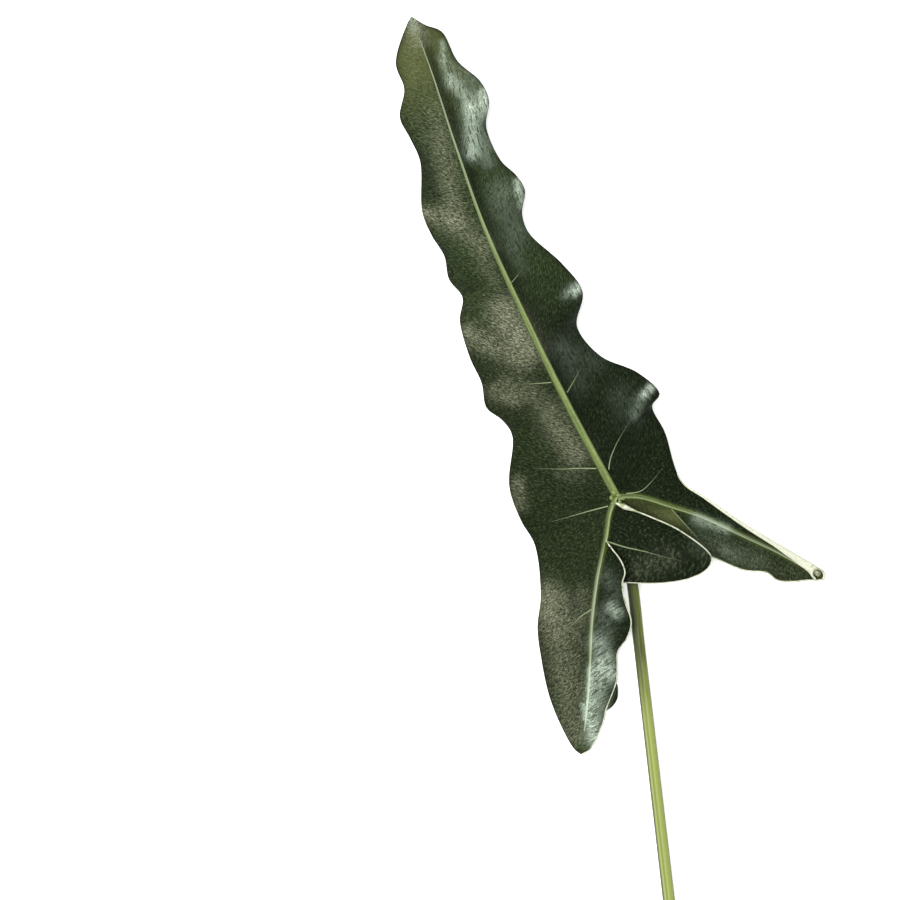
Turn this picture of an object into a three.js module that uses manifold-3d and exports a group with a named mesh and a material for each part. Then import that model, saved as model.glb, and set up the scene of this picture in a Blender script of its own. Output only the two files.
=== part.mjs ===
// A cut philodendron leaf lying face up: an arrow-shaped blade with waved margins and two basal lobes,
// carried by a petiole that runs on under the blade as its midrib and its two lobe ribs.
// Millimetres, +Z up. The lines below are measured from the point where the petiole meets the blade,
// x and y in plan and z above the surface that the leaf lies on.
import * as THREE from "three";
import { mergeVertices } from "three/addons/utils/BufferGeometryUtils.js";
import Module from "manifold-3d";

const wasm = await Module();
wasm.setup();

// Driving dimensions
const bladeThickness = 0.8;
const ribSeatGap = 0.3; // between the blade's underside and the ribs that carry it
const midribWidth = { base: 5.4, end: 1.2 };
const lobeRibWidth = { base: 3.4, end: 1.1 };
const ridgeShare = 0.14; // rise of a rib on the upper face, as a share of its width
const ribDepthShare = 0.6; // depth of a rib under the blade, as a share of its width
const ribEnds = { midrib: 0.93, left: 0.84, right: 0.86 }; // where the ribs run out under the blade
const petioleWidth = { cut: 7.4, top: 6.6 };
const petioleChannel = 0.07; // depth of the channel along its upper side, as a share of its radius
const lobeRoll = { radius: 3.2, turn: THREE.MathUtils.degToRad(270) }; // at the right lobe's tip
const droop = 1.5; // how late a half-blade bends down on its way from rib to margin
const frontFoldDroop = 1;
const sinusDroop = 0.8;

// Colours
const bladeGreen = 0x37452f;
const petioleGreen = 0x93a957;

// Rib lines, from the petiole outwards
const junction = [0, 0, 22];
const bladeTip = [-122.5, 287.5, 0];
const leftLobeTip = [-20.5, -155.5, 0];
const rightLobeTip = [124.5, -50, 9.5];
const midribLine = [
  junction, [-27, 51.5, 25], [-54, 107, 26], [-78, 159.5, 23], [-96, 210.5, 17], [-110.5, 254, 9], bladeTip,
];
const leftRibLine = [
  junction, [-4, -9.5, 21.5], [-6.5, -26.5, 19.5], [-11.5, -50.5, 16], [-14.5, -74.5, 12],
  [-15.5, -98.5, 8], [-17, -125.5, 3], [-19.5, -147, 0], leftLobeTip,
];
const rightRibLine = [
  junction, [14.5, -0.5, 22], [31, -5.5, 21.5], [50.5, -12, 19.5], [74.5, -23, 15], [98.5, -34.5, 9],
  [111.5, -42, 6], [119, -46.5, 6], rightLobeTip,
];

// Outer margins, from the blade's tip round to each lobe's tip: the crests and hollows of their waves
const leftMargin = [
  bladeTip, [-126.5, 277, 3], [-132, 260, 7], [-127, 245, 2], [-129.5, 227, 11], [-123.5, 215, 8],
  [-117.5, 201.5, 3], [-116, 170, 17], [-110.5, 156.5, 13], [-103, 144.5, 6], [-100, 130, 15],
  [-92, 119.5, 6.5], [-93.5, 104.5, 17], [-87.5, 83, 16], [-80.5, 68, 8], [-77.5, 53, 14], [-68, 45.5, 11],
  [-62, 36, 5], [-64, 5.5, 15], [-57, -14.5, 12], [-48.5, -29.5, 6], [-45, -59.5, 7], [-47, -79, 11],
  [-45, -95.5, 7], [-40, -119.5, 3], [-32.5, -138.5, 1], [-24.5, -152.5, 0], leftLobeTip,
];
const rightMargin = [
  bladeTip, [-114.5, 283, 4], [-104.5, 278.5, 9], [-95.5, 261.5, 7], [-81.5, 248.5, 14], [-76.5, 237, 18],
  [-78, 221.5, 9], [-69.5, 201.5, 12], [-60, 192, 17], [-55, 183.5, 20], [-56.5, 169, 10], [-52.5, 158, 10],
  [-32.5, 139, 17], [-20.5, 122.5, 22], [-23.5, 101.5, 9], [-9.5, 84, 11], [12.5, 74, 17], [25.5, 62, 21],
  [21.5, 53.5, 10], [29, 38.5, 13], [39, 9, 16], [53, -0.5, 17.5], [76.5, -16.5, 15], [101, -31, 9],
  [114, -38.5, 6], [121.5, -43, 6], [126.5, -46.5, 9.5],
];
const leftMarginTurn = 19; // the margin points that lie opposite the junction
const rightMarginTurn = 19;

// Inner margins, on the sinus side of the lobes. The left lobe's is split near its base, where the
// front fold of the lobe laps over the broad flap beside the petiole.
const flapMargin = [
  [5, -6.5, 24], [20.5, -12.5, 24.5], [38.5, -21, 22.5], [57, -36.5, 18], [55, -43, 16], [44.5, -49, 15],
  [26.5, -52, 14.5], [0, -51.5, 15],
];
const frontFoldMargin = [
  [-3.5, -30.5, 23.5], [2.5, -38.5, 25], [5, -45.5, 24.5], [3.5, -52, 22.5], [5, -62.5, 18], [9, -75.5, 14],
  [6.5, -85, 11], [1, -93.5, 7], [0.5, -110, 8], [-6, -129, 3], [-8, -137.5, 2], [-15.5, -152.5, 0],
  leftLobeTip,
];
const rightInnerMargin = [
  [12, -7.5, 17], [23.5, -13.5, 14.5], [38.5, -22, 12], [50, -32, 9], [59.5, -37, 7.5], [77.5, -44.5, 4],
  [91, -46, 5.5], [97, -50.5, 2], [108.5, -51.5, -1], [115, -50.5, 1.5], [120.5, -50.5, 5], rightLobeTip,
];

// Underside of the petiole, from below the junction down to the surface and along it to the cut end
const petioleLine = [
  [-1, 2, 14.3], [1, -6, 12.4], [5.5, -28, 7.2], [10.5, -56.5, 3], [14, -88, 0.8], [18, -122.5, 0],
  [25, -182.5, 0], [32, -242.5, 0], [37.5, -288, 0],
];

// Where the split on the left rib lies, as shares of the rib's length
const flapEnd = 0.175;
const frontFoldStart = 0.215;

// Fineness of the facets
const midribRows = 38;
const flapRows = 15;
const frontFoldRows = 22;
const rightLobeRows = 24;
const flapSinusRows = 2; // rows at the junction that the sinus leaves bare, on the left and the right lobe
const rightSinusRows = 1;
const columns = 6;
const rightColumns = 8;
const ribSteps = { midrib: 20, lobe: 12 };
const petioleSteps = 20;
const petioleSides = 12;
const curveSteps = 24;

function curveThrough(points) {
  const curve = new THREE.CatmullRomCurve3(points.map((p) => new THREE.Vector3(...p)), false, "centripetal");
  curve.arcLengthDivisions = curveSteps * (points.length - 1);
  return curve;
}

// The share of a curve's length at which it reaches one of its points
function shareAt(curve, index) {
  const lengths = curve.getLengths();
  return lengths[index * curveSteps] / lengths.at(-1);
}

function shares(count, from, to) {
  return Array.from({ length: count + 1 }, (_, i) => from + ((to - from) * i) / count);
}

const midrib = curveThrough(midribLine);
const leftRib = curveThrough(leftRibLine);
const rightRib = curveThrough(rightRibLine);

// The blade's middle layer: points, triangles, and how far each point rises as a rib's ridge
const layer = { points: [], triangles: [], ridge: [] };

function addPoint(point, ridge = 0) {
  const resting = point.clone();
  resting.z = Math.max(resting.z, bladeThickness / 2); // the surface stops it
  layer.ridge.push(ridge);
  return layer.points.push(resting) - 1;
}

function ribWidth(width, share) {
  return THREE.MathUtils.lerp(width.base, width.end, share);
}

// One row of points from a rib to a margin point. Past its straight run a rolled margin follows an arc.
function addRow(ribIndex, marginPoint, width, { count = columns, bend = droop, roll = null } = {}) {
  const start = layer.points[ribIndex];
  const radius = roll ? roll.radius : 0;
  const turn = roll ? roll.turn : 0;
  const foot = marginPoint.clone();
  if (roll) foot.addScaledVector(roll.outward, -radius);
  const straight = Math.hypot(foot.x - start.x, foot.y - start.y);
  const length = straight + radius * turn;
  const ridgeFoot = Math.min(width / 2, length / 4);
  const row = [ribIndex];
  for (let j = 1; j <= count; j++) {
    const distance = ridgeFoot + ((length - ridgeFoot) * (j - 1)) / (count - 1);
    const share = Math.min(distance / straight, 1);
    const point = start.clone().lerp(foot, share);
    point.z = start.z + (foot.z - start.z) * share ** bend;
    if (distance > straight && roll) {
      const angle = (distance - straight) / radius;
      point.addScaledVector(roll.outward, radius * Math.sin(angle));
      point.addScaledVector(roll.upward, radius * (1 - Math.cos(angle)));
    }
    row.push(addPoint(point));
  }
  return row;
}

function tipRow(index, count = columns) {
  return Array(count + 1).fill(index);
}

// The surface between neighbouring rows. On a left-hand strip the margin lies left of the rib's direction.
function addStrip(rows, leftHand) {
  const addTriangle = (a, b, c) => {
    if (a === b || b === c || c === a) return;
    layer.triangles.push(leftHand ? [a, b, c] : [a, c, b]);
  };
  for (let k = 0; k + 1 < rows.length; k++) {
    for (let j = 0; j + 1 < rows[k].length; j++) {
      addTriangle(rows[k][j], rows[k + 1][j], rows[k + 1][j + 1]);
      addTriangle(rows[k][j], rows[k + 1][j + 1], rows[k][j + 1]);
    }
  }
}

// Points along a rib, each raised as its ridge
function addRib(curve, width, stations) {
  return stations.map((s) => addPoint(curve.getPointAt(s), ridgeShare * ribWidth(width, s)));
}

// The roll of the right lobe's outer margin, which widens and closes towards the lobe's turned-up tip
function rollAt(share) {
  const along = rightRib.getTangentAt(share);
  const outward = new THREE.Vector3(-along.y, along.x, 0).normalize();
  return {
    radius: lobeRoll.radius * share,
    turn: lobeRoll.turn * THREE.MathUtils.smoothstep(share, 0, 0.9),
    outward,
    upward: along.clone().cross(outward),
  };
}

function buildBladeLayer() {
  const midribShares = shares(midribRows, 0, 1);
  const leftShares = [...shares(flapRows, 0, flapEnd), ...shares(frontFoldRows, frontFoldStart, 1)];
  const rightShares = shares(rightLobeRows, 0, 1);
  const midribPoints = addRib(midrib, midribWidth, midribShares);
  const centre = midribPoints[0];
  const leftPoints = [centre, ...addRib(leftRib, lobeRibWidth, leftShares.slice(1))];
  const rightPoints = [centre, ...addRib(rightRib, lobeRibWidth, rightShares.slice(1))];
  const [tip, leftTip, rightTip] = [midribPoints, leftPoints, rightPoints].map((p) => p.at(-1));
  layer.ridge[tip] = layer.ridge[leftTip] = 0;

  const leftOuter = curveThrough(leftMargin);
  const leftTurn = shareAt(leftOuter, leftMarginTurn);
  const leftBladeRows = midribShares.map((s, k) => {
    if (midribPoints[k] === tip) return tipRow(tip);
    return addRow(midribPoints[k], leftOuter.getPointAt(leftTurn * (1 - s)), ribWidth(midribWidth, s));
  });
  const leftLobeRows = leftShares.map((s, k) => {
    if (k === 0) return leftBladeRows[0];
    if (leftPoints[k] === leftTip) return tipRow(leftTip);
    const marginPoint = leftOuter.getPointAt(leftTurn + (1 - leftTurn) * s);
    return addRow(leftPoints[k], marginPoint, ribWidth(lobeRibWidth, s));
  });
  addStrip(leftBladeRows, true);
  addStrip(leftLobeRows, false);

  const rightOuter = curveThrough(rightMargin);
  const rightTurn = shareAt(rightOuter, rightMarginTurn);
  const count = rightColumns;
  const rightBladeRows = midribShares.map((s, k) => {
    if (midribPoints[k] === tip) return tipRow(tip, count);
    const marginPoint = rightOuter.getPointAt(rightTurn * (1 - s));
    return addRow(midribPoints[k], marginPoint, ribWidth(midribWidth, s), { count });
  });
  const rolledRows = rightShares.map((s, k) => {
    if (k === 0) return rightBladeRows[0];
    const marginPoint = rightOuter.getPointAt(rightTurn + (1 - rightTurn) * s);
    return addRow(rightPoints[k], marginPoint, ribWidth(lobeRibWidth, s), { count, roll: rollAt(s) });
  });
  addStrip(rightBladeRows, false);
  addStrip(rolledRows, true);

  const flap = curveThrough(flapMargin);
  const flapStart = leftShares[flapSinusRows];
  const flapStrip = leftShares.slice(flapSinusRows, flapRows + 1).map((s, k) => {
    const share = (s - flapStart) / (flapEnd - flapStart);
    return addRow(leftPoints[flapSinusRows + k], flap.getPointAt(share), ribWidth(lobeRibWidth, s));
  });
  addStrip(flapStrip, true);

  const frontFold = curveThrough(frontFoldMargin);
  const frontFoldStrip = leftShares.slice(flapRows + 1).map((s, k) => {
    const index = leftPoints[flapRows + 1 + k];
    if (index === leftTip) return tipRow(leftTip);
    const share = (s - frontFoldStart) / (1 - frontFoldStart);
    return addRow(index, frontFold.getPointAt(share), ribWidth(lobeRibWidth, s), { bend: frontFoldDroop });
  });
  addStrip(frontFoldStrip, true);

  const rightInner = curveThrough(rightInnerMargin);
  const rightInnerStart = rightShares[rightSinusRows];
  const rightInnerStrip = rightShares.slice(rightSinusRows).map((s, k) => {
    const index = rightPoints[rightSinusRows + k];
    if (index === rightTip) return tipRow(rightTip);
    const share = (s - rightInnerStart) / (1 - rightInnerStart);
    return addRow(index, rightInner.getPointAt(share), ribWidth(lobeRibWidth, s), { bend: sinusDroop });
  });
  addStrip(rightInnerStrip, false);
}

function layerNormals() {
  const normals = layer.points.map(() => new THREE.Vector3());
  for (const [a, b, c] of layer.triangles) {
    const [pa, pb, pc] = [a, b, c].map((i) => layer.points[i]);
    const face = pb.clone().sub(pa).cross(pc.clone().sub(pa));
    for (const i of [a, b, c]) normals[i].add(face);
  }
  return normals.map((n) => n.normalize());
}

// A closed solid on both sides of the middle layer, with the same triangles on both faces
function thicken(thickness, withRidges) {
  const count = layer.points.length;
  const normals = layerNormals();
  const faces = [1, -1].flatMap((side) =>
    layer.points.map((p, i) => {
      const ridge = side > 0 && withRidges ? layer.ridge[i] : 0;
      return p.clone().addScaledVector(normals[i], side * (thickness / 2 + ridge));
    }),
  );
  const edges = new Set(layer.triangles.flatMap(([a, b, c]) => [`${a},${b}`, `${b},${c}`, `${c},${a}`]));
  const index = [];
  for (const [a, b, c] of layer.triangles) index.push(a, b, c, count + a, count + c, count + b);
  for (const edge of edges) {
    const [a, b] = edge.split(",").map(Number);
    if (edges.has(`${b},${a}`)) continue;
    index.push(b, a, count + a, b, count + a, count + b);
  }
  const geometry = new THREE.BufferGeometry().setFromPoints(faces);
  geometry.setIndex(index);
  return geometry;
}

// A solid through a row of closed sections that all have the same number of points
function loft(sections) {
  const sides = sections[0].length;
  const last = (sections.length - 1) * sides;
  const index = [];
  for (let k = 0; k + 1 < sections.length; k++) {
    for (let i = 0; i < sides; i++) {
      const [a, b] = [k * sides + i, k * sides + ((i + 1) % sides)];
      index.push(a, b + sides, b, a, a + sides, b + sides);
    }
  }
  for (let i = 1; i + 1 < sides; i++) index.push(0, i, i + 1, last, last + i + 1, last + i);
  const geometry = new THREE.BufferGeometry().setFromPoints(sections.flat());
  geometry.setIndex(index);
  return geometry;
}

// A section set square across a curve: its points are sideways and upwards of the curve's own point
function sectionAcross(curve, share, outline) {
  const centre = curve.getPointAt(share);
  const along = curve.getTangentAt(share);
  const sideways = new THREE.Vector3(along.y, -along.x, 0).normalize();
  const upwards = sideways.clone().cross(along);
  return outline.map(([x, y]) => centre.clone().addScaledVector(sideways, x).addScaledVector(upwards, y));
}

// A rib hangs under the blade as a tapering half-round bead
function ribSolid(curve, width, endShare, steps) {
  const top = -bladeThickness / 2 - ribSeatGap;
  const sections = shares(steps, 0, endShare).map((share) => {
    const half = ribWidth(width, share) / 2;
    const depth = ribDepthShare * 2 * half;
    const rightSide = [[0.35, 1], [0.8, 0.7], [1, 0.3], [0.6, 0]]; // shares of the half width and the depth
    const leftSide = rightSide.map(([x, y]) => [-x, y]).reverse();
    const outline = [...leftSide, ...rightSide].map(([x, y]) => [x * half, top - y * depth]);
    return sectionAcross(curve, share, outline);
  });
  return toSolid(loft(sections));
}

// The petiole is round, flattened where it lies on the surface and lightly channelled on its upper side
function petioleSolid() {
  const curve = curveThrough(petioleLine);
  const underside = Math.cos(Math.PI / petioleSides); // the flat below lies this far from the middle
  const sections = shares(petioleSteps, 0, 1).map((share) => {
    const radius = THREE.MathUtils.lerp(petioleWidth.top, petioleWidth.cut, share) / 2;
    const outline = [];
    for (let i = 0; i < petioleSides; i++) {
      const angle = ((i - 0.5) / petioleSides) * 2 * Math.PI - Math.PI / 2;
      const onTop = Math.sin(angle) > 0.9;
      const height = Math.sin(angle) - (onTop ? petioleChannel : 0);
      outline.push([radius * Math.cos(angle), radius * (underside + height)]);
    }
    const section = sectionAcross(curve, share, outline);
    for (const point of section) point.z = Math.max(point.z, 0);
    return section;
  });
  return toSolid(loft(sections));
}

function toSolid(geometry) {
  const merged = mergeVertices(geometry, 1e-4);
  return new wasm.Manifold(
    new wasm.Mesh({
      numProp: 3,
      vertProperties: new Float32Array(merged.getAttribute("position").array),
      triVerts: new Uint32Array(merged.index.array),
    }),
  );
}

function toGeometry(solid) {
  const mesh = solid.getMesh();
  const geometry = new THREE.BufferGeometry();
  geometry.setAttribute("position", new THREE.BufferAttribute(new Float32Array(mesh.vertProperties), 3));
  geometry.setIndex(new THREE.BufferAttribute(new Uint32Array(mesh.triVerts), 1));
  return geometry;
}

function namedMesh(name, geometry, colour, roughness) {
  geometry.computeVertexNormals();
  const material = new THREE.MeshStandardMaterial({ color: colour, roughness, metalness: 0 });
  const mesh = new THREE.Mesh(geometry, material);
  mesh.name = name;
  return mesh;
}

buildBladeLayer();
const bladeGeometry = thicken(bladeThickness, true);
const clearance = toSolid(thicken(bladeThickness + 2 * ribSeatGap, false));
const stalk = petioleSolid()
  .add(ribSolid(midrib, midribWidth, ribEnds.midrib, ribSteps.midrib))
  .add(ribSolid(leftRib, lobeRibWidth, ribEnds.left, ribSteps.lobe))
  .add(ribSolid(rightRib, lobeRibWidth, ribEnds.right, ribSteps.lobe))
  .subtract(clearance);

const leaf = new THREE.Group();
leaf.add(namedMesh("blade", bladeGeometry, bladeGreen, 0.45));
leaf.add(namedMesh("petiole_and_ribs", toGeometry(stalk), petioleGreen, 0.55));

// The origin is the middle of the leaf's box, on the surface that it lies on
const box = new THREE.Box3().setFromObject(leaf, true);
const middle = box.getCenter(new THREE.Vector3());
leaf.position.set(-middle.x, -middle.y, -box.min.z);

const part = new THREE.Group();
part.add(leaf);
export default part;
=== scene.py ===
import math

import bpy
import numpy as np
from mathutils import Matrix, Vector


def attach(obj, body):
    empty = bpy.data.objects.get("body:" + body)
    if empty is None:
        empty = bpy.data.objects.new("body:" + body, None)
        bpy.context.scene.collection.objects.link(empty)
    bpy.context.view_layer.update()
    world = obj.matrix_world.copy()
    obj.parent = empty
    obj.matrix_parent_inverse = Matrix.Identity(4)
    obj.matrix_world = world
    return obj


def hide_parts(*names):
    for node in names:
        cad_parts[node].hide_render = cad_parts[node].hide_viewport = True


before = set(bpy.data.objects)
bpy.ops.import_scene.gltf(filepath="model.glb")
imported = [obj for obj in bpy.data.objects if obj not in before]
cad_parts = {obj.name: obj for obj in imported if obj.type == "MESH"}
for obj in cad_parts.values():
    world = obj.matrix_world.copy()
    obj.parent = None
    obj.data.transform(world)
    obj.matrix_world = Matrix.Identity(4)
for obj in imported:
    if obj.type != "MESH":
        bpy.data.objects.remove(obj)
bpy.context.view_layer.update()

mm = 0.001
white = (1.0, 1.0, 1.0, 1.0)
junctionAt = np.array([3.0206, 0.437, 0.0])  # mm, where the petiole meets the blade, in the frame
scene = bpy.context.scene


def srgb(red, green, blue):
    linear = [c / 12.92 if c <= 0.04045 else ((c + 0.055) / 1.055) ** 2.4
              for c in (red / 255, green / 255, blue / 255)]
    return (*linear, 1.0)


def smoothstep(value, low, high):
    t = np.clip((value - low) / (high - low), 0, 1)
    return t * t * (3 - 2 * t)


def unit(vectors):
    return vectors / np.linalg.norm(vectors, axis=-1, keepdims=True)


def edgesOf(triangles):
    return np.vstack([triangles[:, [0, 1]], triangles[:, [1, 2]], triangles[:, [2, 0]]])


def putInScene(name, data):
    made = bpy.data.objects.new(name, data)
    scene.collection.objects.link(made)
    return made


# Nodes: sums on a Wire add Math nodes, and every other node comes from NodeSheet.node
class Wire:
    def __init__(self, sheet, socket):
        self.sheet = sheet
        self.socket = socket

    def out(self, name):
        return Wire(self.sheet, self.socket.node.outputs[name])

    def sum(self, operation, first, second=0.0):
        return self.sheet.node("ShaderNodeMath", {"operation": operation}, {0: first, 1: second})

    def __add__(self, other):
        return self.sum("ADD", self, other)

    def __radd__(self, other):
        return self.sum("ADD", other, self)

    def __sub__(self, other):
        return self.sum("SUBTRACT", self, other)

    def __rsub__(self, other):
        return self.sum("SUBTRACT", other, self)

    def __mul__(self, other):
        return self.sum("MULTIPLY", self, other)

    def __rmul__(self, other):
        return self.sum("MULTIPLY", other, self)

    def size(self):
        return self.sum("ABSOLUTE", self)

    def between(self, low, high):
        settings = {"interpolation_type": "SMOOTHSTEP"}
        sockets = {"Value": self, "From Min": low, "From Max": high}
        return self.sheet.node("ShaderNodeMapRange", settings, sockets)


class NodeSheet:
    def __init__(self, tree):
        self.tree = tree

    def node(self, kind, settings=None, sockets=None, output=0):
        made = self.tree.nodes.new(kind)
        for key, value in (settings or {}).items():
            if key == "stops":
                self.setStops(made.color_ramp, value)
            else:
                setattr(made, key, value)
        for key, value in (sockets or {}).items():
            if isinstance(value, Wire):
                self.tree.links.new(value.socket, made.inputs[key])
            else:
                made.inputs[key].default_value = value
        return Wire(self, made.outputs[output]) if len(made.outputs) else made

    def setStops(self, ramp, stops):
        while len(ramp.elements) < len(stops):
            ramp.elements.new(1.0)
        for element, (place, colour) in zip(ramp.elements, stops):
            element.position = place
            element.color = colour

    def mixColour(self, first, second, factor):
        return self.node("ShaderNodeMix", {"data_type": "RGBA"}, {0: factor, 6: first, 7: second}, 2)

    def attribute(self, name, output="Fac"):
        return self.node("ShaderNodeAttribute", {"attribute_name": name}, None, output)

    def place(self):
        return self.node("ShaderNodeTexCoord", None, None, "Object")

    def drawnOut(self, vector, scale):
        return self.node("ShaderNodeMapping", None, {"Vector": vector, "Scale": scale})

    def noise(self, vector, scale, detail=2.0, roughness=0.5, distortion=0.0):
        sockets = {"Vector": vector, "Scale": scale, "Detail": detail, "Roughness": roughness,
                   "Distortion": distortion}
        return self.node("ShaderNodeTexNoise", None, sockets)

    def bump(self, height, depth, strength=1.0):
        return self.node("ShaderNodeBump", None, {"Strength": strength, "Distance": depth, "Height": height})

    def surface(self, tone, roughness, more=None):
        sockets = {"Base Color": tone, "Roughness": roughness, **(more or {})}
        return self.node("ShaderNodeBsdfPrincipled", None, sockets)


def newMaterial(name):
    material = bpy.data.materials.new(name)
    material.use_nodes = True
    material.node_tree.nodes.clear()
    return material, NodeSheet(material.node_tree)


def endMaterial(sheet, shader):
    sheet.node("ShaderNodeOutputMaterial", None, {"Surface": shader})


# A smooth line through its points, read by the share of its own length
class LeafLine:
    steps = 48
    probe = 0.004  # share of the length to each side that gives the direction

    def __init__(self, points):
        points = np.array(points, float)
        ends = np.vstack([2 * points[0] - points[1], points, 2 * points[-1] - points[-2]])
        t = np.linspace(0, 1, self.steps, endpoint=False)[:, None]
        spans = []
        for p0, p1, p2, p3 in zip(ends, ends[1:], ends[2:], ends[3:]):
            d0, d1, d2 = (np.sum((b - a) ** 2) ** 0.25 for a, b in ((p0, p1), (p1, p2), (p2, p3)))
            slope1 = ((p1 - p0) / d0 - (p2 - p0) / (d0 + d1) + (p2 - p1) / d1) * d1
            slope2 = ((p2 - p1) / d1 - (p3 - p1) / (d1 + d2) + (p3 - p2) / d2) * d1
            square = -3 * p1 + 3 * p2 - 2 * slope1 - slope2
            cube = 2 * p1 - 2 * p2 + slope1 + slope2
            spans.append(p1 + slope1 * t + square * t ** 2 + cube * t ** 3)
        self.fine = np.vstack([*spans, points[-1:]])
        steps = np.linalg.norm(np.diff(self.fine, axis=0), axis=1)
        self.lengths = np.concatenate([[0], np.cumsum(steps)])
        self.length = self.lengths[-1]

    def at(self, shares):
        along = np.asarray(shares, float) * self.length
        return np.stack([np.interp(along, self.lengths, column) for column in self.fine.T], -1)

    def directionAt(self, shares):
        shares = np.asarray(shares, float)
        ahead = self.at(np.minimum(shares + self.probe, 1)) - self.at(np.maximum(shares - self.probe, 0))
        return unit(ahead)

    def shareOf(self, index):
        return self.lengths[index * self.steps] / self.length


# Lines of the leaf in mm from the junction: x and y in plan, z above the floor
junction = [0, 0, 22]
bladeTip = [-122.8, 288.2, 0]
leftLobeTip = [-20.5, -155.5, 0]
rightLobeTip = [124.5, -50, 9.5]
leafLines = {
    "midrib": [
        junction, [-27.5, 51.2, 25], [-54.7, 106.6, 26], [-78.4, 159.3, 23], [-96.4, 210.3, 17],
        [-110.5, 254, 9], bladeTip],
    "leftRib": [
        junction, [-4, -9.5, 21.5], [-6.5, -26.5, 19.5], [-11.5, -50.5, 16], [-14.5, -74.5, 12],
        [-15.5, -98.5, 8], [-17, -125.5, 3], [-19.5, -147, 0], leftLobeTip],
    "rightRib": [
        junction, [14.5, -0.5, 22], [31, -5.5, 21.5], [50.5, -12, 19.5], [74.5, -23, 15],
        [98.5, -34.5, 9], [111.5, -42, 6], [119, -46.5, 6], rightLobeTip],
    "leftMargin": [
        bladeTip, [-125.4, 283.4, 2], [-132, 260, 7], [-127, 245, 2], [-129.5, 227, 11], [-123.5, 215, 8],
        [-117.5, 201.5, 3], [-116, 170, 17], [-110.5, 156.5, 13], [-103, 144.5, 6], [-100, 130, 15],
        [-92, 119.5, 6.5], [-93.5, 104.5, 17], [-87.5, 83, 16], [-80.5, 68, 8], [-77.5, 53, 14],
        [-68, 45.5, 11], [-62, 36, 5], [-64, 5.5, 15], [-57, -14.5, 12], [-48.5, -29.5, 6],
        [-45, -59.5, 7], [-47, -79, 11], [-45, -95.5, 7], [-40, -119.5, 3], [-32.5, -138.5, 1],
        [-24.5, -152.5, 0], leftLobeTip],
    "rightMargin": [
        bladeTip, [-114.5, 283, 4], [-104.5, 278.5, 9], [-95.5, 261.5, 7], [-81.5, 248.5, 14],
        [-76.5, 237, 18], [-78, 221.5, 9], [-69.5, 201.5, 12], [-60, 192, 17], [-55, 183.5, 20],
        [-56.5, 169, 10], [-52.5, 158, 10], [-32.5, 139, 17], [-20.5, 122.5, 22], [-23.5, 101.5, 9],
        [-9.5, 84, 11], [12.5, 74, 17], [25.5, 62, 21], [21.5, 53.5, 10], [29, 38.5, 13], [39, 9, 16],
        [53, -0.5, 17.5], [76.5, -16.5, 15], [101, -31, 9], [114, -38.5, 6], [121.5, -43, 6],
        [126.5, -46.5, 9.5]],
    "flap": [
        [5, -6.5, 24], [20.5, -12.5, 24.5], [38.5, -21, 22.5], [57, -36.5, 18], [55, -43, 16],
        [44.5, -49, 15], [26.5, -52, 14.5], [0, -51.5, 15]],
    "frontFold": [
        [-3.5, -30.5, 23.5], [2.5, -38.5, 25], [5, -45.5, 24.5], [3.5, -52, 22.5], [5, -62.5, 18],
        [9, -75.5, 14], [6.5, -85, 11], [1, -93.5, 7], [0.5, -110, 8], [-6, -129, 3], [-8, -137.5, 2],
        [-15.5, -152.5, 0], leftLobeTip],
    "rightInner": [
        [5, -8.8, 17.5], [22, -15, 14.8], [38.5, -22, 12], [50, -32, 9], [59.5, -37, 7.5],
        [77.5, -44.5, 4], [91, -46, 5.5], [97, -50.5, 2], [108.5, -51.5, -1], [115, -50.5, 1.5],
        [120.5, -50.5, 5], rightLobeTip],
    "petiole": [
        [-1, 2, 14.3], [1, -6, 12.4], [5.5, -28, 7.2], [10.5, -56.5, 3], [14, -88, 0.8],
        [18, -122.5, 0], [25, -182.5, 0], [32, -242.5, 0], [37.5, -288, 0]],
}
line = {name: LeafLine(points) for name, points in leafLines.items()}
marginTurn = 19  # the point of each outer margin that lies opposite the junction


def newPiece(name, points, faces, material):
    mesh = bpy.data.meshes.new(name)
    mesh.from_pydata(((np.asarray(points) + junctionAt) * mm).tolist(), [], faces)
    mesh.materials.append(material)
    mesh.shade_smooth()
    return putInScene(name, mesh)


def setAttribute(piece, name, values):
    values = np.asarray(values, np.float32)
    kind = "FLOAT_VECTOR" if values.ndim == 2 else "FLOAT"
    layer = piece.data.attributes.new(name, kind, "POINT")
    layer.data.foreach_set("vector" if values.ndim == 2 else "value", values.ravel())


def dress(piece, slot, *nodes):
    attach(piece, "root")
    if nodes:
        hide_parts(*nodes)
    print(piece.name, len(piece.data.polygons), "faces")


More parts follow.
